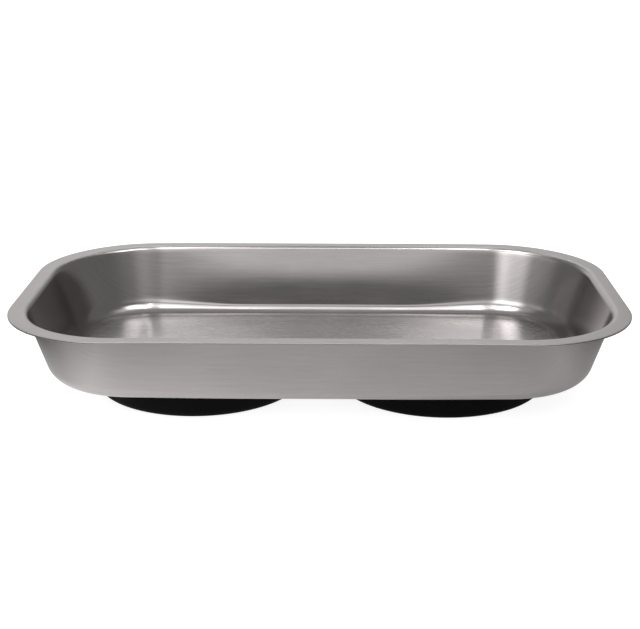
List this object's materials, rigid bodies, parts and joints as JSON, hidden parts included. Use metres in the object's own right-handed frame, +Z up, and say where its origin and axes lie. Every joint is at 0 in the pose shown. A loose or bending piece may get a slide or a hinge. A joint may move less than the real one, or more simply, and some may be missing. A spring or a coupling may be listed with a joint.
{
  "type": "magnetic parts tray",
  "caption": "Shallow rectangular pressed steel tray with rounded corners and a flat rim, standing on round rubber-booted magnet bases that hold loose metal parts and cling to steel.",
  "frame": {"origin": "under the middle of the tray, on the surface that the two magnet bases stand on", "axes": "+X along the tray's length from the left base to the right base, +Y across the tray away from the pictured side, +Z up"},
  "size_m": [0.24, 0.14, 0.04],
  "materials": {
    "tray_steel": "satin brushed stainless steel",
    "boot_rubber": "matt black moulded rubber",
    "plated_steel": "bright zinc plate on pressed steel",
    "ferrite": "matt dark grey sintered ferrite",
    "nut_steel": "plain steel",
    "fastener_steel": "bright zinc plate",
    "spring_steel": "zinc-plated spring steel"
  },
  "bodies": {
    "root": {"tray_pan": "tray_steel", "left_boot": "boot_rubber", "left_dish_plate": "plated_steel", "left_ring_magnet": "ferrite", "left_pole_plate": "plated_steel", "left_weld_nut": "nut_steel", "left_flat_washer": "fastener_steel", "left_lock_washer": "spring_steel", "left_screw": "fastener_steel", "right_boot": "boot_rubber", "right_dish_plate": "plated_steel", "right_ring_magnet": "ferrite", "right_pole_plate": "plated_steel", "right_weld_nut": "nut_steel", "right_flat_washer": "fastener_steel", "right_lock_washer": "spring_steel", "right_screw": "fastener_steel"}
  },
  "joints": []
}
